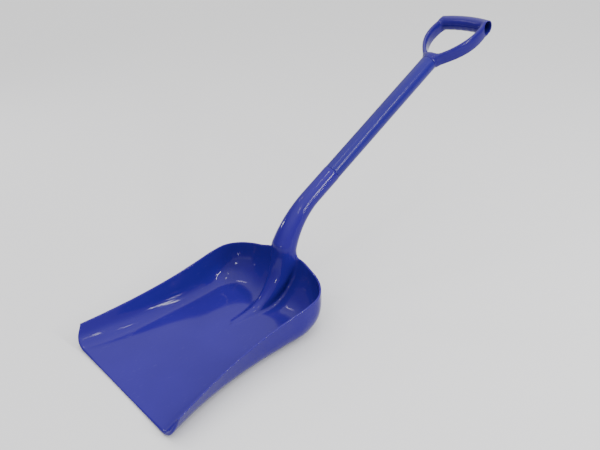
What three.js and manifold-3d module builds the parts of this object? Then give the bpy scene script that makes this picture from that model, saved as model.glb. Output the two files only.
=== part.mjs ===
// Feed scoop: a moulded pan on a gooseneck, a tube shaft and a D-grip with an open crossbar.
// Millimetres. +Z is up, +Y runs from the pan to the grip, +X is across the pan.
// The origin is on the pan's flat underside, on the centre line.
import * as THREE from 'three';
import { mergeVertices } from 'three/addons/utils/BufferGeometryUtils.js';
import Module from 'manifold-3d';

const wasm = await Module();
wasm.setup();

// Pan
const LIP_Y = -170; // the straight front lip
const SKIN = 3.5; // floor and wall thickness
const RIM_FRONT = 37; // rim height at the lip, above the underside
const RIM_SLOPE = THREE.MathUtils.degToRad(7.1); // the rim climbs towards the back at this angle
const NECK_RISE = 6.5; // extra rim height where the rim runs up to the neck
const NECK_RISE_FROM = 78; // distance from the centre line where that rise starts
const NECK_RISE_TO = 38; // and where it is complete
const WALL_END_SETBACK = 14.5; // the side walls' front ends sweep back by this much at the rim
const WALL_END_SWEEP = 1.8; // power of the height that the sweep follows

// Stations round the right half of the pan, from the lip to the back's centre, in plan with y from
// the lip: the rim, the foot that the wall is aimed at, and the edge of the flat floor.
const STATIONS = [
  { rim: [167.5, 0], foot: [155.5, 0], flat: [134, 0] },
  { rim: [154.5, 60], foot: [141.5, 60], flat: [116, 60] },
  { rim: [144, 125], foot: [132.5, 125], flat: [106, 125] },
  { rim: [138, 200], foot: [130, 200], flat: [102, 198] },
  { rim: [139.5, 265], foot: [134, 263], flat: [102, 256] },
  { rim: [141.5, 303], foot: [141, 304.5], flat: [98, 289] },
  { rim: [137.5, 332], foot: [137.5, 334], flat: [86, 304] },
  { rim: [121, 353], foot: [118.5, 352], flat: [67, 308] },
  { rim: [94, 369], foot: [91, 363], flat: [46, 307] },
  { rim: [60, 379], foot: [57, 364], flat: [27, 303] },
  { rim: [24, 382.5], foot: [23, 364], flat: [10, 301] },
  { rim: [0, 383], foot: [0, 364], flat: [0, 300] },
];
const SPINE_LENGTH = 235; // the floor's ribs start on the centre line, up to here from the lip
const FLOOR_DISH = 3.4; // the floor's upper face rises by this much towards its edges
const DISH_FADE_FROM = 120; // and that rise dies away between these distances from the lip
const DISH_FADE_TO = 290;
const BLEND_LIMIT = 0.8; // the floor's blend takes up at most this share of the wall
const RIB_COUNT = 33;
const FLOOR_STEPS = 3;
const BLEND_STEPS = 6;
const WALL_STEPS = 2;

// Shaft and gooseneck neck. The joint is where the neck's socket meets the tube.
const JOINT_Y = 343.4;
const JOINT_Z = 217.2;
const SHAFT_ANGLE = THREE.MathUtils.degToRad(26.9); // above the pan's floor
const NECK_STRAIGHT = 65; // straight socket end of the neck
const NECK_BEND_RADIUS = 178;
const NECK_BEND = THREE.MathUtils.degToRad(36); // the neck turns down by this much
const NECK_TOP_RADIUS = 17.9;
const NECK_FOOT_RADIUS = 25.2;
const NECK_SWELL = 1.5; // power of the turn that the radius follows
const NECK_SEGMENTS = 12;
const SHAFT_LENGTH = 338;
const SHAFT_LOW_RADIUS = 17.3;
const SHAFT_HIGH_RADIUS = 17.6;
const BORE_RADIUS = 13; // inside the tube, the socket and the grip's stem
const SOCKET_DEPTH = 55;
const GAP = 0.3; // between touching pieces
const NECK_SPIGOT_LENGTH = 90; // half in the socket, half in the tube
const GRIP_SPIGOT_LENGTH = 72;
const STEM_BORE_DEPTH = 13;
const ROUND_SIDES = 24;

// Foot of the neck: sections that flatten from the round neck into a low ridge on the floor. Each is
// an ellipse from a crest point to a rear point, with y from the lip and z from the inner floor.
const RIDGE = [
  { crestY: 240, crestZ: -1.5, rearY: 244, rearZ: -2.8, half: 3 },
  { crestY: 266, crestZ: 2, rearY: 276, rearZ: -2.8, half: 6.5 },
  { crestY: 288, crestZ: 8, rearY: 305, rearZ: -2.8, half: 11 },
  { crestY: 306, crestZ: 18, rearY: 328, rearZ: 1.5, half: 15 },
  { crestY: 322, crestZ: 33, rearY: 347, rearZ: 10.5, half: 18.5 },
  { crestY: 335, crestZ: 50, rearY: 362, rearZ: 24, half: 21.5 },
  { crestY: 345, crestZ: 71, rearY: 378, rearZ: 44, half: 24 },
  { crestY: 351, crestZ: 92, rearY: 389, rearZ: 67, half: 26.2 },
];

// D-grip, in the shaft's frame: x across, u along the shaft from the joint, depth across both.
const GRIP_START = SHAFT_LENGTH + GAP;
const GRIP_TILT = THREE.MathUtils.degToRad(-2.8); // the grip leans a little below the shaft's line
const GRIP_HALF_WIDTH = 58.5; // at the crossbar's ends
const GRIP_DEPTH = 30;
const ROOT_DEPTH = 26; // the arms are this deep where they leave the stem
const ARM_ROOT_HALF = 13.5;
const ARM_ROOT_U = 341; // the arms leave the stem here
const ARM_SHOULDER = [36, 368]; // the outer outline heads for this point from the root
const ARM_SIDE_U = 396; // and for the widest line from here
const ARM_WIDEST_U = 441;
const ARM_WIDEST_HALF = 63;
const ARM_TUCK_U = 462; // the outline turns in towards the crossbar about here
const ARM_END_U = 476;
const ARM_THICKNESS = 11;
const ARM_SQUARE = 0.75; // power of the arms' rounded section: 1 is an ellipse, 0 a rectangle
const ARM_STEPS = 20;
const HOLE_BASE_U = 357.5;
const HOLE_BASE_HALF = 22; // half the width of the hole's rounded base
const HOLE_SIDE_U = 400; // the hole's sides straighten about here
const CROSSBAR_U = 483.4; // at the middle of the crossbar, which arches away from the hand
const CROSSBAR_ARCH = 6.6;
const CROSSBAR_HALF_U = 16.9;
const CROSSBAR_HALF_DEPTH = 15;
const CROSSBAR_WALL = 2.6;
const CROSSBAR_STEPS = 8;
const STEM_TOP_U = 356;

const { Vector2, Vector3, Matrix4 } = THREE;

// --- closed meshes and joining -------------------------------------------------------------------

function closedGeometry(points, triangles) {
  const geometry = new THREE.BufferGeometry();
  const coordinates = points.flatMap((p) => p.toArray());
  geometry.setAttribute('position', new THREE.Float32BufferAttribute(coordinates, 3));
  geometry.setIndex(triangles.flat());
  return mergeVertices(geometry, 1e-3);
}

function toSolid(geometry) {
  const bare = geometry.clone();
  bare.deleteAttribute('normal');
  bare.deleteAttribute('uv');
  const merged = mergeVertices(bare, 1e-3);
  const index = merged.index.array;
  const kept = [];
  for (let i = 0; i < index.length; i += 3) {
    const [a, b, c] = [index[i], index[i + 1], index[i + 2]];
    if (a !== b && b !== c && c !== a) kept.push(a, b, c);
  }
  return new wasm.Manifold(new wasm.Mesh({
    numProp: 3,
    vertProperties: new Float32Array(merged.attributes.position.array),
    triVerts: new Uint32Array(kept),
  }));
}

function toGeometry(solid) {
  const mesh = solid.getMesh();
  const geometry = new THREE.BufferGeometry();
  geometry.setAttribute('position', new THREE.BufferAttribute(new Float32Array(mesh.vertProperties), 3));
  geometry.setIndex(new THREE.BufferAttribute(new Uint32Array(mesh.triVerts), 1));
  geometry.computeVertexNormals();
  return geometry;
}

function namedMesh(name, geometry, colour) {
  const material = new THREE.MeshStandardMaterial({ color: colour, roughness: 0.28, metalness: 0 });
  const mesh = new THREE.Mesh(geometry, material);
  mesh.name = name;
  return mesh;
}

// --- pan -----------------------------------------------------------------------------------------

function planCurve(name) {
  return new THREE.CatmullRomCurve3(STATIONS.map((s) => new Vector3(...s[name], 0)));
}

const rimCurve = planCurve('rim');
const footCurve = planCurve('foot');
const flatCurve = planCurve('flat');

function rimHeight(x, y) {
  const rise = THREE.MathUtils.smoothstep(NECK_RISE_FROM - x, 0, NECK_RISE_FROM - NECK_RISE_TO);
  return RIM_FRONT + y * Math.tan(RIM_SLOPE) + NECK_RISE * rise;
}

// One rib of the pan, from the centre line out over the floor and up the wall to the rim.
// skin is 0 for the inner face and SKIN for the outer one.
function rib(u, skin) {
  const rim = rimCurve.getPoint(u);
  const foot = footCurve.getPoint(u);
  const flat = flatCurve.getPoint(u);
  const tangent = rimCurve.getTangent(u);
  const outward = new Vector3(tangent.y, -tangent.x, 0).normalize();
  rim.z = rimHeight(rim.x, rim.y);
  rim.addScaledVector(outward, skin);
  foot.addScaledVector(outward, skin);
  const face = SKIN - skin;
  const spine = new Vector3(0, SPINE_LENGTH * u, face);
  const fade = 1 - THREE.MathUtils.smoothstep(flat.y, DISH_FADE_FROM, DISH_FADE_TO);
  const dish = skin === 0 ? FLOOR_DISH * fade : 0;
  const floorWidth = Math.hypot(flat.x, flat.y - spine.y);
  const blendWidth = Math.hypot(foot.x - flat.x, foot.y - flat.y);
  flat.z = face + dish;
  foot.z = flat.z + (2 * dish * blendWidth) / floorWidth;
  const rise = Math.min(blendWidth, BLEND_LIMIT * rim.distanceTo(foot));
  const wallStart = rim.clone().sub(foot).setLength(rise).add(foot);
  const blend = new THREE.QuadraticBezierCurve3(flat, foot, wallStart);
  const points = [];
  for (let i = 0; i < FLOOR_STEPS; i += 1) {
    const s = i / FLOOR_STEPS;
    points.push(spine.clone().lerp(flat, s).setZ(face + dish * s * s));
  }
  for (let i = 0; i < BLEND_STEPS; i += 1) points.push(blend.getPoint(i / BLEND_STEPS));
  for (let i = 0; i <= WALL_STEPS; i += 1) points.push(wallStart.clone().lerp(rim, i / WALL_STEPS));
  if (u === 1) points.forEach((p) => p.setX(0));
  return points;
}

// How far the side wall's front end stands back from the lip at height z.
function setback(z) {
  return WALL_END_SETBACK * (z / RIM_FRONT) ** WALL_END_SWEEP;
}

// Ribs from the lip to the back. Each line along the wall starts at its own setback.
function ribGrid(skin) {
  const perMillimetre = 1 / (STATIONS[1].rim[1] * (STATIONS.length - 1));
  const starts = rib(0, skin).map((p) => setback(p.z) * perMillimetre);
  const rows = [];
  for (let i = 0; i <= RIB_COUNT; i += 1) {
    const t = i / RIB_COUNT;
    rows.push(starts.map((start, j) => rib(start + (1 - start) * t, skin)[j]));
  }
  rows[0].forEach((p) => {
    p.y = setback(p.z);
  });
  return rows;
}

function panGeometry() {
  const inner = ribGrid(0);
  const outer = ribGrid(SKIN);
  const rimIndex = inner[0].length - 1;
  const points = [];
  const triangles = [];
  // Corners a, b, c, d run round the face; the face is split from b to d.
  const addFace = (corners, side, faces) => {
    const base = points.length;
    points.push(...corners.map((p) => new Vector3(p.x * side, p.y + LIP_Y, p.z)));
    [[0, 1, 3], [1, 2, 3]].forEach((corner) => {
      const [a, b, c] = corner.map((k) => base + k);
      triangles.push(side * faces > 0 ? [a, b, c] : [a, c, b]);
    });
  };
  for (const side of [1, -1]) {
    for (let i = 0; i < RIB_COUNT; i += 1) {
      for (let j = 0; j < rimIndex; j += 1) {
        addFace([inner[i][j], inner[i][j + 1], inner[i + 1][j + 1], inner[i + 1][j]], side, 1);
        addFace([outer[i][j], outer[i][j + 1], outer[i + 1][j + 1], outer[i + 1][j]], side, -1);
      }
      const rim = [inner[i], outer[i], outer[i + 1], inner[i + 1]].map((line) => line[rimIndex]);
      addFace(rim, side, 1);
    }
    for (let j = 0; j < rimIndex; j += 1) {
      addFace([outer[0][j], outer[0][j + 1], inner[0][j + 1], inner[0][j]], side, 1);
    }
  }
  return closedGeometry(points, triangles);
}

// --- neck ----------------------------------------------------------------------------------------

const shaftDirection = new Vector3(0, Math.cos(SHAFT_ANGLE), Math.sin(SHAFT_ANGLE));
const shaftUp = new Vector3(0, -Math.sin(SHAFT_ANGLE), Math.cos(SHAFT_ANGLE));

// A closed ring of points; right and up are the ellipse's half axes.
function ellipseSection(centre, right, up) {
  const points = [];
  for (let i = 0; i < ROUND_SIDES; i += 1) {
    const a = (i / ROUND_SIDES) * 2 * Math.PI;
    points.push(centre.clone().addScaledVector(right, Math.cos(a)).addScaledVector(up, Math.sin(a)));
  }
  return points;
}

function neckSections() {
  const sections = RIDGE.map((s) => {
    const crest = new Vector3(0, s.crestY + LIP_Y, s.crestZ + SKIN);
    const rear = new Vector3(0, s.rearY + LIP_Y, s.rearZ + SKIN);
    const up = crest.clone().sub(rear).divideScalar(2);
    return ellipseSection(rear.clone().add(up), new Vector3(s.half, 0, 0), up);
  });
  const bendStart = new Vector3(0, JOINT_Y, JOINT_Z).addScaledVector(shaftDirection, -NECK_STRAIGHT);
  const bendCentre = bendStart.clone().addScaledVector(shaftUp, -NECK_BEND_RADIUS);
  for (let i = NECK_SEGMENTS; i >= 0; i -= 1) {
    const turned = i / NECK_SEGMENTS;
    const angle = SHAFT_ANGLE + NECK_BEND * turned;
    const up = new Vector3(0, -Math.sin(angle), Math.cos(angle));
    const radius = NECK_TOP_RADIUS + (NECK_FOOT_RADIUS - NECK_TOP_RADIUS) * turned ** NECK_SWELL;
    const centre = bendCentre.clone().addScaledVector(up, NECK_BEND_RADIUS);
    sections.push(ellipseSection(centre, new Vector3(radius, 0, 0), up.multiplyScalar(radius)));
  }
  const socketEnd = new Vector3(0, JOINT_Y, JOINT_Z);
  const socketUp = shaftUp.clone().multiplyScalar(NECK_TOP_RADIUS);
  sections.push(ellipseSection(socketEnd, new Vector3(NECK_TOP_RADIUS, 0, 0), socketUp));
  return sections;
}

function loftGeometry(sections) {
  const sides = ROUND_SIDES;
  const points = sections.flat();
  const triangles = [];
  for (let k = 0; k < sections.length - 1; k += 1) {
    for (let i = 0; i < sides; i += 1) {
      const a = k * sides + i;
      const b = k * sides + (i + 1) % sides;
      triangles.push([a, a + sides, b], [b, a + sides, b + sides]);
    }
  }
  const lastRing = (sections.length - 1) * sides;
  for (let i = 1; i < sides - 1; i += 1) {
    triangles.push([0, i, i + 1], [lastRing, lastRing + i + 1, lastRing + i]);
  }
  return closedGeometry(points, triangles);
}

function scoopGeometry() {
  const socket = new THREE.CylinderGeometry(BORE_RADIUS, BORE_RADIUS, SOCKET_DEPTH * 2, ROUND_SIDES);
  socket.applyMatrix4(new Matrix4().makeRotationX(SHAFT_ANGLE));
  socket.applyMatrix4(new Matrix4().makeTranslation(0, JOINT_Y, JOINT_Z));
  return toGeometry(toSolid(panGeometry())
    .add(toSolid(loftGeometry(neckSections())))
    .subtract(toSolid(socket)));
}

// --- shaft and grip, in the shaft's frame: +Y along the shaft from the joint -----------------------

function tubeGeometry() {
  const profile = [
    new Vector2(BORE_RADIUS, GAP),
    new Vector2(SHAFT_LOW_RADIUS, GAP),
    new Vector2(SHAFT_HIGH_RADIUS, SHAFT_LENGTH),
    new Vector2(BORE_RADIUS, SHAFT_LENGTH),
    new Vector2(BORE_RADIUS, GAP),
  ];
  return new THREE.LatheGeometry(profile, ROUND_SIDES);
}

function spigotGeometry(length) {
  return new THREE.CylinderGeometry(BORE_RADIUS - GAP, BORE_RADIUS - GAP, length, ROUND_SIDES);
}

// Matching points down the outer and inner outlines of the right arm, from the root's middle.
function armOutlines() {
  const widest = ARM_WIDEST_HALF;
  const inner = widest - ARM_THICKNESS;
  const outside = new THREE.Path();
  outside.moveTo(0, ARM_ROOT_U);
  outside.lineTo(ARM_ROOT_HALF, ARM_ROOT_U);
  outside.bezierCurveTo(...ARM_SHOULDER, widest, ARM_SIDE_U, widest, ARM_WIDEST_U);
  outside.quadraticCurveTo(widest, ARM_TUCK_U, GRIP_HALF_WIDTH, ARM_END_U);
  const inside = new THREE.Path();
  inside.moveTo(0, HOLE_BASE_U);
  inside.bezierCurveTo(HOLE_BASE_HALF, HOLE_BASE_U, inner, HOLE_SIDE_U, inner, ARM_WIDEST_U);
  inside.quadraticCurveTo(inner, ARM_TUCK_U, GRIP_HALF_WIDTH - ARM_THICKNESS, ARM_END_U);
  return [outside.getSpacedPoints(ARM_STEPS), inside.getSpacedPoints(ARM_STEPS)];
}

function armSection(outer, inner, side, depth) {
  const middle = new Vector3(side * (outer.x + inner.x) / 2, (outer.y + inner.y) / 2, 0);
  const half = new Vector3(side * (outer.x - inner.x) / 2, (outer.y - inner.y) / 2, 0);
  const squared = (value) => Math.sign(value) * Math.abs(value) ** ARM_SQUARE;
  const points = [];
  for (let i = 0; i < ROUND_SIDES; i += 1) {
    const a = ((i + 0.5) / ROUND_SIDES) * 2 * Math.PI;
    const point = middle.clone().addScaledVector(half, squared(Math.cos(a)));
    points.push(point.setZ(squared(Math.sin(a)) * depth / 2));
  }
  return points;
}

// The two arms as one horseshoe, swept from the crossbar's left end round the root to its right end.
function armsGeometry() {
  const [outer, inner] = armOutlines();
  const sections = [];
  for (let i = -ARM_STEPS; i <= ARM_STEPS; i += 1) {
    const step = Math.abs(i);
    const growth = THREE.MathUtils.smoothstep(step / ARM_STEPS, 0.05, 0.6);
    const depth = ROOT_DEPTH + (GRIP_DEPTH - ROOT_DEPTH) * growth;
    sections.push(armSection(outer[step], inner[step], i < 0 ? -1 : 1, depth));
  }
  return loftGeometry(sections);
}

// The arched crossbar, or with an inset the bore that runs through it, past the widest of the arms.
function crossbarGeometry(inset) {
  const sections = [];
  const halfLength = inset > 0 ? ARM_WIDEST_HALF + GAP : GRIP_HALF_WIDTH;
  for (let i = 0; i <= CROSSBAR_STEPS; i += 1) {
    const x = halfLength * (1 - (2 * i) / CROSSBAR_STEPS);
    const centre = new Vector3(x, CROSSBAR_U - CROSSBAR_ARCH * (x / GRIP_HALF_WIDTH) ** 2, 0);
    const right = new Vector3(0, CROSSBAR_HALF_U - inset, 0);
    sections.push(ellipseSection(centre, right, new Vector3(0, 0, CROSSBAR_HALF_DEPTH - inset)));
  }
  return loftGeometry(sections);
}

function stemCylinder(radius, from, to) {
  const stem = new THREE.CylinderGeometry(radius, radius, to - from, ROUND_SIDES);
  return stem.translate(0, (from + to) / 2, 0);
}

function gripGeometry() {
  const tilt = new Matrix4().makeTranslation(0, ARM_ROOT_U, 0)
    .multiply(new Matrix4().makeRotationX(GRIP_TILT))
    .multiply(new Matrix4().makeTranslation(0, -ARM_ROOT_U, 0));
  const arms = armsGeometry().applyMatrix4(tilt);
  const bar = crossbarGeometry(0).applyMatrix4(tilt);
  const bore = crossbarGeometry(CROSSBAR_WALL).applyMatrix4(tilt);
  const stem = stemCylinder(SHAFT_HIGH_RADIUS, GRIP_START, STEM_TOP_U);
  const stemBore = stemCylinder(BORE_RADIUS, GRIP_START - GAP, GRIP_START + STEM_BORE_DEPTH);
  return toGeometry(toSolid(arms).add(toSolid(bar)).add(toSolid(stem))
    .subtract(toSolid(bore)).subtract(toSolid(stemBore)));
}

// --- the scoop -----------------------------------------------------------------------------------

const BLUE = 0x2d3192;
const DARK_BLUE = 0x262a80;

const scoop = new THREE.Group();
scoop.add(namedMesh('scoop_pan', scoopGeometry(), BLUE));

const handle = new THREE.Group();
handle.position.set(0, JOINT_Y, JOINT_Z);
handle.rotation.x = SHAFT_ANGLE;
handle.add(namedMesh('shaft_tube', tubeGeometry(), BLUE));
handle.add(namedMesh('d_grip', gripGeometry(), BLUE));

const neckSpigot = namedMesh('neck_spigot', spigotGeometry(NECK_SPIGOT_LENGTH), DARK_BLUE);
handle.add(neckSpigot);
const gripSpigot = namedMesh('grip_spigot', spigotGeometry(GRIP_SPIGOT_LENGTH), DARK_BLUE);
gripSpigot.position.y = GRIP_START + STEM_BORE_DEPTH - GAP - GRIP_SPIGOT_LENGTH / 2;
handle.add(gripSpigot);
scoop.add(handle);

export default scoop;
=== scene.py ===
"""Feed scoop: the finished surfaces, materials, light and camera, in the frame of the CAD model."""
import math
import bmesh
import bpy
import numpy as np
from mathutils import Matrix, Quaternion, Vector
from mathutils.bvhtree import BVHTree


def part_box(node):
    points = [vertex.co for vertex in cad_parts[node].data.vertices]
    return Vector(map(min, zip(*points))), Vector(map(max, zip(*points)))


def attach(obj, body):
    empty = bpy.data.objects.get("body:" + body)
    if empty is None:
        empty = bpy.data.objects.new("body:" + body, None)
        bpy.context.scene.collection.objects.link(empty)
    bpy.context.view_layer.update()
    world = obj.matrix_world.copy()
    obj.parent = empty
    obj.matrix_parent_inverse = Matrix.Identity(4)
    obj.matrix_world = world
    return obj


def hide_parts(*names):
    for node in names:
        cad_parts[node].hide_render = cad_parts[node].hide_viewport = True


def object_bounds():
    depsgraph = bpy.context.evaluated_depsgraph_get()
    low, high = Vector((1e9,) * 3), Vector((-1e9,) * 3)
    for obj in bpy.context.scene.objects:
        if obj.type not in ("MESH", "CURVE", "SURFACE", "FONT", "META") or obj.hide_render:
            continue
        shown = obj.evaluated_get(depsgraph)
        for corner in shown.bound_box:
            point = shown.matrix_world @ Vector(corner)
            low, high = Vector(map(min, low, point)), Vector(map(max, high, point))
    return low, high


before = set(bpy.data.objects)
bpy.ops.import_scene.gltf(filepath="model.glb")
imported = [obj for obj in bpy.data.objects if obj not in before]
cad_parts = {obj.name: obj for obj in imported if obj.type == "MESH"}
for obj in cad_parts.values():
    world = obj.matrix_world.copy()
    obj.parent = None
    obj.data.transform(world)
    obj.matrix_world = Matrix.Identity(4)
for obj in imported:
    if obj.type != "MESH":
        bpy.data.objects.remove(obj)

cad_low, cad_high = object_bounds()
MM = 0.001


def centre_of(node):
    low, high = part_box(node)
    return np.array([(a + b) / 2 for a, b in zip(low, high)]) / MM


# Places in the frame, in millimetres.
LIP_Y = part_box("scoop_pan")[0][1] / MM
JOINT = centre_of("neck_spigot")
SHAFT = centre_of("grip_spigot") - JOINT
SHAFT[0] = 0.0
SHAFT /= np.linalg.norm(SHAFT)
SHAFT_ANGLE = math.atan2(SHAFT[2], SHAFT[1])

# --- pan ---------------------------------------------------------------------------------------
SKIN = 3.5
EDGE = SKIN / 2
RIM_FRONT = 37.0
RIM_SLOPE = math.radians(7.1)
NECK_RISE = 6.5
NECK_RISE_FROM = 78.0
NECK_RISE_TO = 38.0
WALL_END_SETBACK = 14.5
WALL_END_SWEEP = 1.8
SPINE_LENGTH = 235.0
FLOOR_DISH = 3.4
DISH_FADE_FROM = 120.0
DISH_FADE_TO = 290.0
BLEND_LIMIT = 0.8
ROW_SPACING = 3.0
FLOOR_LINES = 34
BLEND_LINES = 14
WALL_LINES = 14
RIM_LINES = 10
RIM_SQUARE = 0.5
NOSE_ROWS = 4

# Stations round the right half: rim, foot of the wall and edge of the flat floor, y from the lip.
STATIONS = np.array([
    [[167.5, 0], [155.5, 0], [134, 0]],
    [[154.5, 60], [141.5, 60], [116, 60]],
    [[144, 125], [132.5, 125], [106, 125]],
    [[138, 200], [130, 200], [102, 198]],
    [[139.5, 265], [134, 263], [102, 256]],
    [[141.5, 303], [141, 304.5], [98, 289]],
    [[137.5, 332], [137.5, 334], [86, 304]],
    [[121, 353], [118.5, 352], [67, 308]],
    [[94, 369], [91, 363], [46, 307]],
    [[60, 379], [57, 364], [27, 303]],
    [[24, 382.5], [23, 364], [10, 301]],
    [[0, 383], [0, 364], [0, 300]],
], dtype=float)

# --- neck and shaft ------------------------------------------------------------------------------
NECK_STRAIGHT = 65.0
NECK_BEND_RADIUS = 178.0
NECK_BEND = math.radians(36)
NECK_TOP_RADIUS = 17.9
NECK_FOOT_RADIUS = 25.2
NECK_SWELL = 1.5
SHAFT_LENGTH = 338.0
SHAFT_LOW_RADIUS = 17.3
SHAFT_HIGH_RADIUS = 17.6
BORE_RADIUS = 13.0
SOCKET_DEPTH = 55.0
GAP = 0.3
STEM_BORE_DEPTH = 13.0
SIDES = 72
ARM_SIDES = 56

# Crest y, crest z, rear y, rear z and half width, y from the lip and z from the inner floor.
RIDGE = [
    (240, -1.5, 244, -2.8, 3),
    (266, 2, 276, -2.8, 6.5),
    (288, 8, 305, -2.8, 11),
    (306, 18, 328, 1.5, 15),
    (322, 33, 347, 10.5, 18.5),
    (335, 50, 362, 24, 21.5),
    (345, 71, 378, 44, 24),
    (351, 92, 389, 67, 26.2),
]

# --- grip, in the shaft's frame: across, along from the joint, depth -----------------------------
GRIP_START = SHAFT_LENGTH + GAP
GRIP_TILT = math.radians(-2.8)
GRIP_HALF_WIDTH = 58.5
GRIP_DEPTH = 30.0
ROOT_DEPTH = 26.0
ARM_ROOT_HALF = 13.5
ARM_ROOT_U = 341.0
ARM_SHOULDER = (36.0, 368.0)
ARM_SIDE_U = 396.0
ARM_WIDEST_U = 441.0
ARM_WIDEST_HALF = 63.0
ARM_TUCK_U = 462.0
ARM_END_U = 476.0
ARM_THICKNESS = 11.0
ARM_SQUARE = 0.75
HOLE_BASE_U = 357.5
HOLE_BASE_HALF = 22.0
HOLE_SIDE_U = 400.0
CROSSBAR_U = 483.4
CROSSBAR_ARCH = 6.6
CROSSBAR_HALF_U = 16.9
CROSSBAR_HALF_DEPTH = 15.0
CROSSBAR_WALL = 2.6
MOUTH_ROUND = 1.6
BORE_OVERRUN = 8.0
RIPPLE_LENGTH = 17.0
RIPPLE_HEIGHT = 0.7
STEM_TOP_U = 356.0

# --- fillets: their reach, how much it grows, and the span over which it grows -------------------
NO_FILLET = 0.05
RIDGE_FILLET = 9.0
BACK_FILLET = 5.0
BACK_FILLET_SPAN = (275.0, 330.0)
OUTER_FILLET = 6.0
OUTER_FILLET_SPAN = (12.0, 30.0)
CROSSBAR_FILLET = 5.0
STEM_FILLET = 9.0


# --- curves --------------------------------------------------------------------------------------

def smoothstep(x, low, high):
    t = np.clip((x - low) / (high - low), 0, 1)
    return t * t * (3 - 2 * t)


def spline(points, t):
    """Centripetal Catmull-Rom curve through the points; t runs from 0 to 1 over them all."""
    points = np.asarray(points, dtype=float)
    count = len(points)
    padded = np.vstack([2 * points[0] - points[1], points, 2 * points[-1] - points[-2]])
    place = np.clip(np.asarray(t, dtype=float), 0, 1) * (count - 1)
    first = np.minimum(place.astype(int), count - 2)
    w = (place - first)[..., None]
    p0, p1, p2, p3 = (padded[first + k] for k in range(4))
    d0 = np.linalg.norm(p1 - p0, axis=-1)[..., None] ** 0.5
    d1 = np.linalg.norm(p2 - p1, axis=-1)[..., None] ** 0.5
    d2 = np.linalg.norm(p3 - p2, axis=-1)[..., None] ** 0.5
    m1 = ((p1 - p0) / d0 - (p2 - p0) / (d0 + d1) + (p2 - p1) / d1) * d1
    m2 = ((p2 - p1) / d1 - (p3 - p1) / (d1 + d2) + (p3 - p2) / d2) * d1
    c2 = -3 * p1 + 3 * p2 - 2 * m1 - m2
    c3 = 2 * p1 - 2 * p2 + m1 + m2
    return p1 + m1 * w + c2 * w ** 2 + c3 * w ** 3


def bezier(points, t):
    """Bezier curve of any order at t, which may be an array."""
    points = [np.asarray(p, dtype=float) for p in points]
    t = np.asarray(t, dtype=float)[..., None]
    while len(points) > 1:
        points = [a * (1 - t) + b * t for a, b in zip(points, points[1:])]
    return points[0]


def unit(v):
    return v / np.linalg.norm(v, axis=-1, keepdims=True)


# --- meshes --------------------------------------------------------------------------------------

def new_object(name, points, faces):
    mesh = bpy.data.meshes.new(name)
    mesh.from_pydata([tuple(p) for p in np.asarray(points) * MM], [], faces)
    work = bmesh.new()
    work.from_mesh(mesh)
    bmesh.ops.remove_doubles(work, verts=work.verts, dist=2e-6)
    bmesh.ops.recalc_face_normals(work, faces=work.faces)
    work.to_mesh(mesh)
    work.free()
    mesh.shade_smooth()
    item = bpy.data.objects.new(name, mesh)
    bpy.context.scene.collection.objects.link(item)
    return item


def tube_object(name, rings, looped=False):
    """A tube through rings of the same number of points, capped unless it closes on itself."""
    count = len(rings[0])
    points = np.concatenate(rings)
    faces = []
    steps = len(rings) if looped else len(rings) - 1
    for k in range(steps):
        low, high = k * count, ((k + 1) % len(rings)) * count
        for i in range(count):
            j = (i + 1) % count
            faces.append((low + i, low + j, high + j, high + i))
    if not looped:
        faces.append(tuple(range(count))[::-1])
        faces.append(tuple(range(len(points) - count, len(points))))
    return new_object(name, points, faces)


def combine(target, tool, operation):
    """Joins, or cuts, target with tool, and removes tool."""
    modifier = target.modifiers.new("combine", "BOOLEAN")
    modifier.operation = operation
    modifier.solver = "EXACT"
    modifier.object = tool
    bpy.context.view_layer.update()
    result = bpy.data.meshes.new_from_object(
        target.evaluated_get(bpy.context.evaluated_depsgraph_get()))
    target.modifiers.clear()
    old = target.data
    target.data = result
    result.name = target.name
    bpy.data.meshes.remove(old)
    bpy.data.objects.remove(tool)
    target.data.shade_smooth()


def tree_of(item):
    mesh = item.data
    points = np.empty(len(mesh.vertices) * 3)
    mesh.vertices.foreach_get("co", points)
    points = points.reshape(-1, 3) / MM
    polygons = [tuple(p.vertices) for p in mesh.polygons]
    return BVHTree.FromPolygons([tuple(p) for p in points], polygons)


def signed_distance(tree, p):
    """Distance to a surface, positive outside, and its gradient."""
    nearest, normal, _, distance = tree.find_nearest(p)
    away = p - nearest
    side = 1.0 if away.dot(normal) >= 0 or distance > 1.0 else -1.0
    if distance < 0.02:
        return side * distance, normal
    return side * distance, away * (side / distance)


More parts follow.
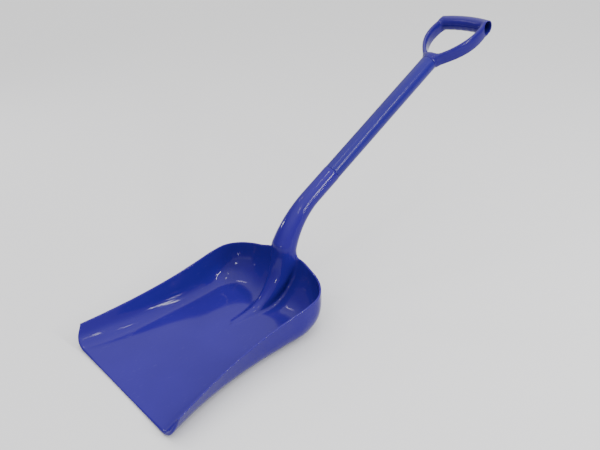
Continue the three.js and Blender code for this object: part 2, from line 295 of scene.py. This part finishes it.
def rounded_join(target, tool, reach, passes=6):
    """Joins tool to target and draws a fillet over the join. reach(p) is the fillet's reach in mm."""
    trees = (tree_of(target), tree_of(tool))
    combine(target, tool, "UNION")
    work = bmesh.new()
    work.from_mesh(target.data)

    def near(vert, factor):
        p = vert.co / MM
        limit = reach(p) * factor
        return all(tree.find_nearest(p, limit)[0] is not None for tree in trees)

    band = [v for v in work.verts if near(v, 1.25)]
    bmesh.ops.remove_doubles(work, verts=band, dist=0.6 * MM)
    band = [v for v in work.verts if near(v, 1.25)]
    faces = {f for v in band for f in v.link_faces}
    bmesh.ops.triangulate(work, faces=list(faces))
    band = [v for v in work.verts if near(v, 1.0)]
    for step in range(passes):
        if step < passes - 2:
            bmesh.ops.smooth_vert(work, verts=band, factor=0.5, use_axis_x=True, use_axis_y=True,
                                  use_axis_z=True)
        for v in band:
            p = v.co / MM
            for _ in range(3):
                (a, grad_a), (b, grad_b) = (signed_distance(tree, p) for tree in trees)
                width = reach(p)
                h = max(width - abs(a - b), 0.0) / width
                value = min(a, b) - h * h * width / 4
                share = 1 - h / 2
                if a > b:
                    share = 1 - share
                grad = grad_a * share + grad_b * (1 - share)
                size = grad.length_squared
                if size < 0.05:
                    break
                p = p - grad * (value / size)
            v.co = p * MM
    bmesh.ops.recalc_face_normals(work, faces=work.faces)
    work.to_mesh(target.data)
    work.free()
    target.data.shade_smooth()


# --- the pan -------------------------------------------------------------------------------------

def rim_height(x, y):
    rise = smoothstep(NECK_RISE_FROM - x, 0, NECK_RISE_FROM - NECK_RISE_TO)
    return RIM_FRONT + y * math.tan(RIM_SLOPE) + NECK_RISE * rise


def pan_surface(u, lines, skin):
    """Points of one face of the pan's skin, and the wall's direction, for an array u[row, line]."""
    rim, foot, flat = (np.concatenate([spline(STATIONS[:, k], u), np.zeros(u.shape + (1,))], -1)
                       for k in range(3))
    ahead = spline(STATIONS[:, 0], u + 1e-4) - spline(STATIONS[:, 0], u - 1e-4)
    outward = unit(np.stack([ahead[..., 1], -ahead[..., 0], np.zeros(u.shape)], -1))
    rim[..., 2] = rim_height(rim[..., 0], rim[..., 1])
    rim = rim + outward * skin
    foot = foot + outward * skin
    spine = np.stack([np.zeros(u.shape), SPINE_LENGTH * u, np.full(u.shape, SKIN - skin)], -1)
    fade = 1 - smoothstep(flat[..., 1], DISH_FADE_FROM, DISH_FADE_TO)
    dish = (0 if skin else FLOOR_DISH) * fade
    floor_width = np.linalg.norm((flat - spine)[..., :2], axis=-1)
    blend_width = np.linalg.norm((foot - flat)[..., :2], axis=-1)
    flat[..., 2] = SKIN - skin + dish
    foot[..., 2] = flat[..., 2] + 2 * dish * blend_width / floor_width
    wall = unit(rim - foot)
    rise = np.minimum(blend_width[..., None],
                      BLEND_LIMIT * np.linalg.norm(rim - foot, axis=-1, keepdims=True))
    wall_start = foot + wall * rise
    rim_end = rim - wall * EDGE
    points = np.empty(u.shape + (3,))
    for k, (kind, s) in enumerate(lines):
        if kind == "floor":
            points[:, k] = spine[:, k] * (1 - s) + flat[:, k] * s
            points[:, k, 2] = SKIN - skin + dish[:, k] * s ** 2
        elif kind == "blend":
            points[:, k] = bezier([flat[:, k], foot[:, k], wall_start[:, k]], np.full(len(u), s))
        else:
            points[:, k] = wall_start[:, k] * (1 - s) + rim_end[:, k] * s
    points[..., 0][u >= 1] = 0
    return points, wall


def pan_object():
    """The pan's skin: rows of points round the plan, each down the inside and back up the outside."""
    lines = [("floor", i / FLOOR_LINES) for i in range(FLOOR_LINES)]
    lines += [("blend", i / BLEND_LINES) for i in range(BLEND_LINES)]
    lines += [("wall", i / WALL_LINES) for i in range(WALL_LINES + 1)]
    samples = np.linspace(0, 1, 2000)
    path = spline(STATIONS[:, 0], samples)
    lengths = np.concatenate([[0], np.cumsum(np.linalg.norm(np.diff(path, axis=0), axis=1))])
    row_count = int(lengths[-1] / ROW_SPACING)
    along = np.interp(np.linspace(0, lengths[-1], row_count), lengths, samples)

    # The walls' front ends sweep back, and the edge all round is a half round of radius EDGE.
    start = np.zeros((1, len(lines)))
    for _ in range(8):
        points, _ = pan_surface(start, lines, 0)
        target = WALL_END_SETBACK * (points[..., 2] / RIM_FRONT) ** WALL_END_SWEEP + EDGE
        start = start + (target - points[..., 1]) / (STATIONS[1, 0, 1] * (len(STATIONS) - 1))
    u = start + (1 - start) * along[:, None]
    u[-1] = 1
    inner, wall = pan_surface(u, lines, 0)
    outer, _ = pan_surface(u, lines, SKIN)
    middle = (inner + outer) / 2
    half = (inner - outer) / 2
    radius = np.linalg.norm(half, axis=-1, keepdims=True)
    angles = [math.pi * i / RIM_LINES for i in range(1, RIM_LINES)]
    edge = slice(len(lines) - 1, len(lines))
    rim_middle = [middle[:, edge]] * len(angles)
    rim_offset = [half[:, edge] * math.copysign(abs(math.cos(a)) ** RIM_SQUARE, math.cos(a))
                  + wall[:, edge] * radius[:, edge] * math.sin(a) ** RIM_SQUARE for a in angles]
    centres = np.concatenate([middle, *rim_middle, middle[:, ::-1]], axis=1)
    offsets = np.concatenate([half, *rim_offset, -half[:, ::-1]], axis=1)
    reach = np.concatenate([radius, *([radius[:, edge]] * len(angles)), radius[:, ::-1]], axis=1)
    forward = -unit(centres[1] - centres[0])
    forward[:, 0][[0, -1]] = 0
    nose = []
    for i in range(NOSE_ROWS):
        a = math.pi / 2 * (1 - i / NOSE_ROWS)
        nose.append(centres[0] + offsets[0] * math.cos(a) + forward * reach[0] * math.sin(a))
    rows = np.concatenate([np.stack(nose), centres + offsets])
    rows[..., 1] += LIP_Y
    rows[..., 0] = np.where(np.abs(rows[..., 0]) < 1e-6, 0, rows[..., 0])

    count = rows.shape[1]
    points = rows.reshape(-1, 3)
    faces = []
    for i in range(len(rows) - 1):
        for k in range(count - 1):
            a = i * count + k
            faces.append((a, a + 1, a + count + 1, a + count))
    mirrored = points * np.array([-1, 1, 1])
    both = faces + [tuple(len(points) + v for v in f[::-1]) for f in faces]
    return new_object("scoop_moulding", np.concatenate([points, mirrored]), both)


def ring(centre, right, up, sides=SIDES):
    a = np.arange(sides) / sides * 2 * math.pi
    return centre + np.cos(a)[:, None] * right + np.sin(a)[:, None] * up


def shaft_up(angle):
    return np.array([0, -math.sin(angle), math.cos(angle)])


def neck_object():
    """The ridge, the gooseneck and the socket for the shaft, as one tube."""
    controls = []
    for crest_y, crest_z, rear_y, rear_z, half in RIDGE:
        crest = np.array([crest_y + LIP_Y, crest_z + SKIN])
        rear = np.array([rear_y + LIP_Y, rear_z + SKIN])
        controls.append([*((crest + rear) / 2), half, *((crest - rear) / 2)])
    bend_centre = JOINT - SHAFT * NECK_STRAIGHT - shaft_up(SHAFT_ANGLE) * NECK_BEND_RADIUS
    for turned in np.linspace(1, 0, 13):
        up = shaft_up(SHAFT_ANGLE + NECK_BEND * turned)
        radius = NECK_TOP_RADIUS + (NECK_FOOT_RADIUS - NECK_TOP_RADIUS) * turned ** NECK_SWELL
        centre = bend_centre + up * NECK_BEND_RADIUS
        controls.append([centre[1], centre[2], radius, up[1] * radius, up[2] * radius])
    rings = []
    for y, z, half, up_y, up_z in spline(controls, np.linspace(0, 1, 6 * len(controls))):
        rings.append(ring(np.array([0, y, z]), np.array([half, 0, 0]), np.array([0, up_y, up_z])))
    up = shaft_up(SHAFT_ANGLE)
    end = [(-40, NECK_TOP_RADIUS), (-20, NECK_TOP_RADIUS), (-6, NECK_TOP_RADIUS + 0.15),
           (-1.2, NECK_TOP_RADIUS + 0.15), (-0.5, NECK_TOP_RADIUS), (-0.1, NECK_TOP_RADIUS - 0.5),
           (0, NECK_TOP_RADIUS - 1.2), (0, BORE_RADIUS + 0.5), (-0.5, BORE_RADIUS),
           (-SOCKET_DEPTH, BORE_RADIUS)]
    for along, radius in end:
        rings.append(ring(JOINT + SHAFT * along, np.array([radius, 0, 0]), up * radius))
    return tube_object("neck_part", rings)


def fillet_reach(p, pan_tree):
    """Long fillets on the inside of the pan, none under its floor and short ones behind its wall."""
    _, normal, _, _ = pan_tree.find_nearest(p)
    inside = float(smoothstep(normal.z - normal.y, -0.5, 0.5))
    inner = RIDGE_FILLET + BACK_FILLET * float(smoothstep(p.y - LIP_Y, *BACK_FILLET_SPAN))
    outer = NO_FILLET + OUTER_FILLET * float(smoothstep(p.z, *OUTER_FILLET_SPAN))
    return outer + (inner - outer) * inside


# --- shaft and grip ------------------------------------------------------------------------------

def from_shaft(points, tilt=0.0):
    """Takes (across, along, depth) points from the shaft's frame to the scoop's frame."""
    across, along, depth = (points[..., k] for k in range(3))
    c, s = math.cos(tilt), math.sin(tilt)
    turned_along = ARM_ROOT_U + (along - ARM_ROOT_U) * c - depth * s
    turned_depth = (along - ARM_ROOT_U) * s + depth * c
    up = shaft_up(SHAFT_ANGLE)
    return (JOINT + across[..., None] * np.array([1.0, 0, 0]) + turned_along[..., None] * SHAFT
            + turned_depth[..., None] * up)


def lathe_rings(profile, tilt=0.0):
    a = np.arange(SIDES) / SIDES * 2 * math.pi
    rings = []
    for radius, along in profile:
        points = np.stack([radius * np.cos(a), np.full(SIDES, along), radius * np.sin(a)], -1)
        rings.append(from_shaft(points, tilt))
    return rings


def shaft_object():
    """The hollow shaft, with its end edges rounded."""
    low, high = GAP, SHAFT_LENGTH
    profile = [(BORE_RADIUS + 0.3, low), (SHAFT_LOW_RADIUS - 0.8, low),
               (SHAFT_LOW_RADIUS - 0.25, low + 0.2), (SHAFT_LOW_RADIUS, low + 0.8)]
    for along in np.linspace(low + 2, high - 2, 60):
        share = (along - low) / (high - low)
        profile.append((SHAFT_LOW_RADIUS + (SHAFT_HIGH_RADIUS - SHAFT_LOW_RADIUS) * share, along))
    profile += [(SHAFT_HIGH_RADIUS, high - 0.5), (SHAFT_HIGH_RADIUS - 0.15, high - 0.15),
                (SHAFT_HIGH_RADIUS - 0.5, high), (BORE_RADIUS + 0.3, high),
                (BORE_RADIUS, high - 0.3), (BORE_RADIUS, low + 0.3)]
    return tube_object("shaft", lathe_rings(profile), looped=True)


def arm_outlines(count):
    """Matching outer and inner points of the right arm, from the root's middle to the crossbar."""
    widest = ARM_WIDEST_HALF
    inner_widest = widest - ARM_THICKNESS
    inner_top = GRIP_HALF_WIDTH - ARM_THICKNESS
    t = np.linspace(0, 1, count)
    outer = np.concatenate([
        bezier([(0, ARM_ROOT_U), (ARM_ROOT_HALF, ARM_ROOT_U)], t[:-1:4]),
        bezier([(ARM_ROOT_HALF, ARM_ROOT_U), ARM_SHOULDER, (widest, ARM_SIDE_U),
                (widest, ARM_WIDEST_U)], t[:-1]),
        bezier([(widest, ARM_WIDEST_U), (widest, ARM_TUCK_U), (GRIP_HALF_WIDTH, ARM_END_U)], t)])
    inner = np.concatenate([
        bezier([(0, HOLE_BASE_U), (HOLE_BASE_HALF, HOLE_BASE_U), (inner_widest, HOLE_SIDE_U),
                (inner_widest, ARM_WIDEST_U)], t[:-1]),
        bezier([(inner_widest, ARM_WIDEST_U), (inner_widest, ARM_TUCK_U), (inner_top, ARM_END_U)],
               t)])

    def even(curve, places):
        lengths = np.concatenate([[0], np.cumsum(np.linalg.norm(np.diff(curve, axis=0), axis=1))])
        total = lengths / lengths[-1]
        return np.stack([np.interp(places, total, curve[:, k]) for k in range(2)], -1)

    places = np.linspace(0, 1, count)
    return even(outer, places), even(inner, places)


def arms_object():
    """The two arms as one strap with well rounded edges, swept round the hand's opening."""
    outer, inner = arm_outlines(64)
    mirror = np.array([-1, 1])
    outer = np.concatenate([(outer * mirror)[:0:-1], outer])
    inner = np.concatenate([(inner * mirror)[:0:-1], inner])
    angles = np.arange(ARM_SIDES) / ARM_SIDES * 2 * math.pi
    across = np.sign(np.cos(angles)) * np.abs(np.cos(angles)) ** ARM_SQUARE
    deep = np.sign(np.sin(angles)) * np.abs(np.sin(angles)) ** ARM_SQUARE
    rings = []
    for i, (o, n) in enumerate(zip(outer, inner)):
        share = abs(2 * i / (len(outer) - 1) - 1)
        depth = ROOT_DEPTH + (GRIP_DEPTH - ROOT_DEPTH) * float(smoothstep(share, 0.05, 0.6))
        plan = (o + n) / 2 + across[:, None] * (o - n) / 2
        rings.append(from_shaft(np.concatenate([plan, deep[:, None] * depth / 2], -1), GRIP_TILT))
    return tube_object("grip", rings)


def crossbar_rings(inset, stations, flare=0.0):
    """Sections of the arched crossbar, or of its bore, whose mouths open by flare at the ends."""
    rings = []
    a = np.arange(SIDES) / SIDES * 2 * math.pi
    for x in stations:
        over = min(max(0.0, abs(x) - (GRIP_HALF_WIDTH - flare)), flare)
        cut = inset - (flare - math.sqrt(flare ** 2 - over ** 2))
        centre = CROSSBAR_U - CROSSBAR_ARCH * (x / GRIP_HALF_WIDTH) ** 2
        ripple = 0.0
        if not flare:
            fade = 1 - smoothstep(abs(x), 30.0, 46.0)
            ripple = RIPPLE_HEIGHT * (0.5 - 0.5 * math.cos(2 * math.pi * x / RIPPLE_LENGTH)) * fade
        towards_hand = np.clip(-np.cos(a), 0, 1) ** 1.5
        half_u = CROSSBAR_HALF_U - cut - ripple * towards_hand
        points = np.stack([np.full(SIDES, x), centre + half_u * np.cos(a),
                           (CROSSBAR_HALF_DEPTH - cut) * np.sin(a)], -1)
        rings.append(from_shaft(points, GRIP_TILT))
    return rings


def stem_reach(p):
    """Fillets between the arms and the stem, none at the stem's end."""
    along = float(np.dot(np.array(p) - JOINT, SHAFT))
    return NO_FILLET + STEM_FILLET * float(smoothstep(along, GRIP_START + 1, GRIP_START + 8))


def grip_object():
    """The D-grip: arms, crossbar and stem joined, with the bore and the socket cut out."""
    grip = arms_object()
    end = GRIP_HALF_WIDTH
    stations = np.concatenate([[-end, -end + 0.4], np.linspace(-end + 1.5, end - 1.5, 70),
                               [end - 0.4, end]])
    bar = tube_object("bar_part", crossbar_rings(0.0, stations))
    rounded_join(grip, bar, lambda p: CROSSBAR_FILLET)
    stem = tube_object("stem_part", lathe_rings([
        (SHAFT_HIGH_RADIUS - 0.5, GRIP_START), (SHAFT_HIGH_RADIUS - 0.1, GRIP_START + 0.2),
        (SHAFT_HIGH_RADIUS, GRIP_START + 0.6), (SHAFT_HIGH_RADIUS, GRIP_START + 4),
        (SHAFT_HIGH_RADIUS, GRIP_START + 8), (SHAFT_HIGH_RADIUS, STEM_TOP_U - 4),
        (SHAFT_HIGH_RADIUS - 3, STEM_TOP_U)]))
    rounded_join(grip, stem, stem_reach)
    mouth = np.linspace(0, MOUTH_ROUND, 5)
    stations = np.concatenate([[-end - BORE_OVERRUN], -end + MOUTH_ROUND - mouth[::-1],
                               np.linspace(-end + 4, end - 4, 30), end - MOUTH_ROUND + mouth,
                               [end + BORE_OVERRUN]])
    bore = tube_object("bore_part", crossbar_rings(CROSSBAR_WALL, stations, MOUTH_ROUND))
    combine(grip, bore, "DIFFERENCE")
    socket = tube_object("socket_part", lathe_rings([
        (BORE_RADIUS, GRIP_START - 1), (BORE_RADIUS, GRIP_START + STEM_BORE_DEPTH)]))
    combine(grip, socket, "DIFFERENCE")
    grip.data.set_sharp_from_angle(angle=math.radians(50))
    return grip


# --- materials -----------------------------------------------------------------------------------

BLUE = (0.0185, 0.0080, 0.170, 1)
BLUE_DEEP = (0.0168, 0.0072, 0.155, 1)
HANDLE_BLUE = (0.0140, 0.0085, 0.150, 1)
HANDLE_DEEP = (0.0125, 0.0075, 0.136, 1)
GRIP_BLUE = (0.015, 0.0065, 0.145, 1)
GRIP_DEEP = (0.0135, 0.006, 0.130, 1)
SCUFF_COLOUR = (0.45, 0.5, 0.75, 1)
SCUFF_STRENGTH = 0.12
SCUFF_ROUGHNESS = 0.05
PEEL_STRENGTH = 0.02
PEEL_DEPTH = 0.0004
FLOW_SCALE = 9
SCUFF_SCALE = 420
SMUDGE_SCALE = 24
PEEL_SCALE = 130
PLASTIC_IOR = 1.49
PLASTIC_SPECULAR = 0.16

def plastic(name, base, deep, roughness):
    """Moulded polypropylene: a clean gloss with faint flow marks, fine scuffs and orange peel."""
    material = bpy.data.materials.new(name)
    material.use_nodes = True
    nodes, links = material.node_tree.nodes, material.node_tree.links
    shader = nodes["Principled BSDF"]
    place = nodes.new("ShaderNodeTexCoord")

    def noise(scale_value, detail=3.0, stretch=(1, 1, 1)):
        mapping = nodes.new("ShaderNodeMapping")
        mapping.inputs["Scale"].default_value = stretch
        texture = nodes.new("ShaderNodeTexNoise")
        texture.inputs["Scale"].default_value = scale_value
        texture.inputs["Detail"].default_value = detail
        links.new(place.outputs["Object"], mapping.inputs["Vector"])
        links.new(mapping.outputs["Vector"], texture.inputs["Vector"])
        return texture.outputs["Fac"]

    def remap(value, low, high, to_low, to_high):
        node = nodes.new("ShaderNodeMapRange")
        for key, number in zip(("From Min", "From Max", "To Min", "To Max"),
                               (low, high, to_low, to_high)):
            node.inputs[key].default_value = number
        links.new(value, node.inputs["Value"])
        return node.outputs["Result"]

    def mix(factor, a, b):
        node = nodes.new("ShaderNodeMix")
        node.data_type = "RGBA"
        links.new(factor, node.inputs["Factor"])
        for socket, value in ((node.inputs["A"], a), (node.inputs["B"], b)):
            if isinstance(value, bpy.types.NodeSocket):
                links.new(value, socket)
            else:
                socket.default_value = value
        return node.outputs["Result"]

    flow = mix(remap(noise(FLOW_SCALE, 2.0), 0.35, 0.65, 0, 1), base, deep)
    scuff = remap(noise(SCUFF_SCALE, 4.0, (1, 0.2, 1)), 0.64, 0.8, 0, 1)
    pale = tuple(0.75 * c + 0.25 * w for c, w in zip(base, SCUFF_COLOUR))
    faint = nodes.new("ShaderNodeMath")
    faint.operation = "MULTIPLY"
    faint.inputs[1].default_value = SCUFF_STRENGTH
    links.new(scuff, faint.inputs[0])
    links.new(mix(faint.outputs[0], flow, pale), shader.inputs["Base Color"])
    smudge = remap(noise(SMUDGE_SCALE, 4.0), 0.3, 0.7, roughness - 0.02, roughness + 0.03)
    rough = nodes.new("ShaderNodeMath")
    rough.operation = "MULTIPLY_ADD"
    rough.inputs[1].default_value = SCUFF_ROUGHNESS
    links.new(scuff, rough.inputs[0])
    links.new(smudge, rough.inputs[2])
    links.new(rough.outputs[0], shader.inputs["Roughness"])
    peel = nodes.new("ShaderNodeBump")
    peel.inputs["Strength"].default_value = PEEL_STRENGTH
    peel.inputs["Distance"].default_value = PEEL_DEPTH
    links.new(noise(PEEL_SCALE, 2.0), peel.inputs["Height"])
    links.new(peel.outputs["Normal"], shader.inputs["Normal"])
    shader.inputs["IOR"].default_value = PLASTIC_IOR
    shader.inputs["Specular IOR Level"].default_value = PLASTIC_SPECULAR
    return material


def dress(item, material):
    """Gives a piece one material."""
    item.data.materials.clear()
    item.data.materials.append(material)


# --- pieces --------------------------------------------------------------------------------------

pan = pan_object()
pan_tree = tree_of(pan)
rounded_join(pan, neck_object(), lambda p: fillet_reach(p, pan_tree))
pan.data.set_sharp_from_angle(angle=math.radians(60))
dress(pan, plastic("pan_blue", BLUE, BLUE_DEEP, 0.09))
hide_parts("scoop_pan")
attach(pan, "root")

shaft = shaft_object()
shaft.data.set_sharp_from_angle(angle=math.radians(60))
dress(shaft, plastic("shaft_blue", HANDLE_BLUE, HANDLE_DEEP, 0.19))
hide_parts("shaft_tube")
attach(shaft, "root")

grip = grip_object()
dress(grip, plastic("grip_blue", GRIP_BLUE, GRIP_DEEP, 0.14))
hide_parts("d_grip")
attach(grip, "root")

inner_blue = plastic("inner_blue", HANDLE_DEEP, BLUE_DEEP, 0.35)
for node in ("neck_spigot", "grip_spigot"):
    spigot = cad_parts[node]
    for slot in spigot.material_slots:
        slot.material = inner_blue

# --- floor, light and camera ---------------------------------------------------------------------

FLOOR_HALF = 14.0
floor_z = cad_low[2] - 0.0004
floor = bpy.data.objects.new("floor", bpy.data.meshes.new("floor"))
corners = [(-1, -1), (1, -1), (1, 1), (-1, 1)]
floor.data.from_pydata([(x * FLOOR_HALF, y * FLOOR_HALF, floor_z) for x, y in corners], [],
                       [(0, 1, 2, 3)])
bpy.context.scene.collection.objects.link(floor)
floor_paint = bpy.data.materials.new("floor_paint")
floor_paint.use_nodes = True
paint = floor_paint.node_tree.nodes["Principled BSDF"]
paint.inputs["Base Color"].default_value = (0.63, 0.63, 0.635, 1)
paint.inputs["Roughness"].default_value = 0.8
paint.inputs["Specular IOR Level"].default_value = 0.1
floor.data.materials.append(floor_paint)

world = bpy.data.worlds.new("studio")
bpy.context.scene.world = world
world.use_nodes = True
studio, wires = world.node_tree.nodes, world.node_tree.links
direction = studio.new("ShaderNodeTexCoord").outputs["Generated"]


def wall_of_light(towards, start, end, strength):
    """Brightness that rises where the view into the studio turns towards a direction."""
    dot = studio.new("ShaderNodeVectorMath")
    dot.operation = "DOT_PRODUCT"
    dot.inputs[1].default_value = Vector(towards).normalized()
    wires.new(direction, dot.inputs[0])
    rise = studio.new("ShaderNodeMapRange")
    rise.interpolation_type = "SMOOTHSTEP"
    for key, number in (("From Min", start), ("From Max", end), ("To Max", strength)):
        rise.inputs[key].default_value = number
    wires.new(dot.outputs["Value"], rise.inputs["Value"])
    return rise.outputs["Result"]


# Direction, where the rise starts and ends as a cosine, and strength.
WALLS_OF_LIGHT = [
    ((-0.67, 0.57, 0.4), 0.55, 0.95, 0.65),
    ((0.1, 0.1, 1.0), 0.35, 1.0, 2.35),
    ((0.62, -0.68, 0.3), 0.3, 0.95, 0.55),
]
STUDIO_BRIGHTNESS = 0.34
brightness = studio.new("ShaderNodeValue").outputs[0]
brightness.default_value = STUDIO_BRIGHTNESS
for values in WALLS_OF_LIGHT:
    total = studio.new("ShaderNodeMath")
    total.operation = "ADD"
    wires.new(brightness, total.inputs[0])
    wires.new(wall_of_light(*values), total.inputs[1])
    brightness = total.outputs[0]
wires.new(brightness, studio["Background"].inputs["Strength"])
studio["Background"].inputs["Color"].default_value = (1, 1, 1, 1)

CAMERA_AZIMUTH = math.radians(49.42)
CAMERA_ELEVATION = math.radians(28.51)
CAMERA_ROLL = math.radians(4.09)
CAMERA_DISTANCE = 1.19778
CAMERA_TARGET = Vector((0, 0.25153, 0.13771))
CAMERA_LENS = 36.72


def area_light(name, place, aim, width, height, power, turn=0, colour=(1, 1, 1)):
    data = bpy.data.lights.new(name, "AREA")
    data.shape = "RECTANGLE"
    data.size = width
    data.size_y = height
    data.energy = power
    data.color = colour
    light = bpy.data.objects.new(name, data)
    light.location = place
    facing = (Vector(aim) - Vector(place)).to_track_quat("-Z", "Y")
    light.rotation_euler = (facing @ Quaternion((0, 0, 1), math.radians(turn))).to_euler()
    bpy.context.scene.collection.objects.link(light)


area_light("strip", (1.53, 0.8, 1.4), (0, 0.4, 0.25), 0.07, 1.0, 13.0, -30)
area_light("neck", (1.83, 0.62, 0.95), (0, 0.3, 0.2), 0.5, 0.12, 12.0, 25)
area_light("side", (0.9, -0.38, 1.7), (-0.15, -0.1, 0.02), 0.08, 0.45, 2.4)
area_light("top", (0.35, 0.2, 2.3), (0, 0.5, 0.35), 0.06, 0.3, 3.0)
area_light("far", (0.78, 2.05, 1.6), (-0.05, 0.7, 0.42), 0.08, 0.3, 2.5)
area_light("left", (-1.2, -0.1, 1.95), (0, 0.2, 0.1), 0.12, 0.35, 3.0, 0, (0.85, 0.75, 1.0))
area_light("low_left", (-2.0, -0.5, 0.95), (0, 0.15, 0.05), 0.1, 0.25, 6)
area_light("front", (0.75, -1.8, 0.55), (-0.05, 0.1, 0.05), 0.1, 0.2, 5)
area_light("low_right", (1.75, 0.8, 0.42), (-0.13, 0.0, 0.02), 0.32, 0.022, 2.8)

camera_data = bpy.data.cameras.new("camera")
camera_data.lens = CAMERA_LENS
camera_data.sensor_width = 36
camera = bpy.data.objects.new("camera", camera_data)
back = Vector((math.sin(CAMERA_AZIMUTH) * math.cos(CAMERA_ELEVATION),
               -math.cos(CAMERA_AZIMUTH) * math.cos(CAMERA_ELEVATION),
               math.sin(CAMERA_ELEVATION)))
level = back.cross(Vector((0, 0, -1))).normalized()
down = (-back).cross(level)
right = level * math.cos(CAMERA_ROLL) + down * math.sin(CAMERA_ROLL)
down = -level * math.sin(CAMERA_ROLL) + down * math.cos(CAMERA_ROLL)
camera.matrix_world = Matrix.Translation(CAMERA_TARGET + back * CAMERA_DISTANCE) @ Matrix(
    (right, -down, back)).transposed().to_4x4()
bpy.context.scene.collection.objects.link(camera)
bpy.context.scene.camera = camera
